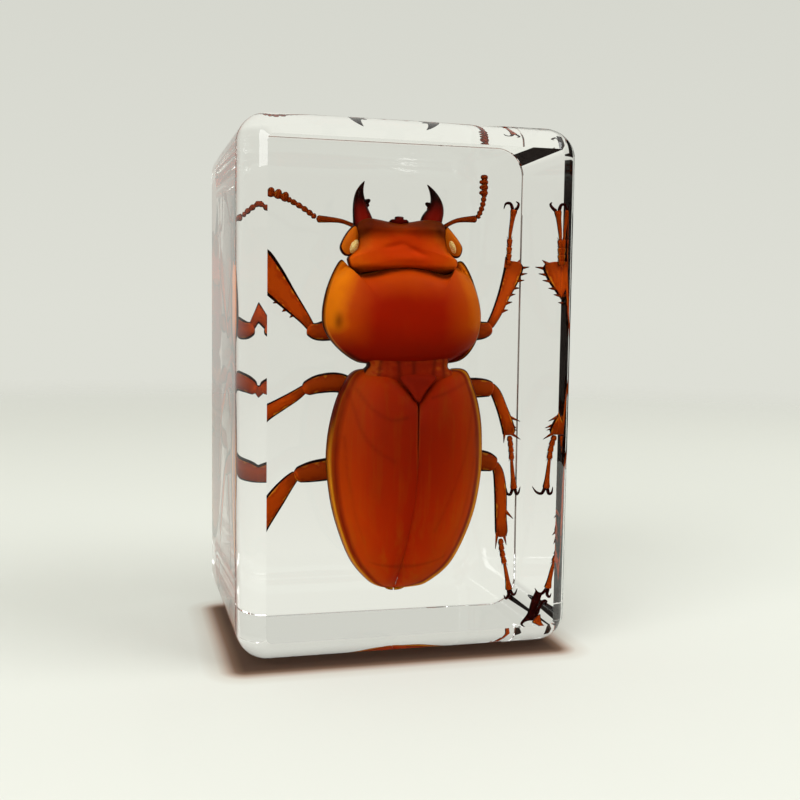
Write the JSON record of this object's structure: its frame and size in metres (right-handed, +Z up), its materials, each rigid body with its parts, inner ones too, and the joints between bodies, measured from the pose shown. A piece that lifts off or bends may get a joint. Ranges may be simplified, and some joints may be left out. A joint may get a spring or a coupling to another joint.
{
  "type": "beetle specimen in a clear resin block",
  "caption": "Upright clear resin block with rounded front edges and a pinned-out amber stag beetle sealed inside; a display piece or paperweight.",
  "frame": {"origin": "middle of the block's footprint, on the plane it stands on", "axes": "+Z up along the block's long side, -Y out of the show face (the beetle's back faces it), +X to the right seen from the front"},
  "size_m": [0.039, 0.032, 0.06],
  "materials": {
    "resin": "polished, water clear",
    "shell": "smooth amber-brown beetle cuticle",
    "limbs": "amber-brown beetle cuticle, darker at the tips",
    "jaws": "dark, thick beetle cuticle",
    "eyes": "pale faceted cornea",
    "underside": "amber-brown plates with fine hairs"
  },
  "bodies": {
    "root": {"resin_block": "resin"}
  },
  "joints": []
}
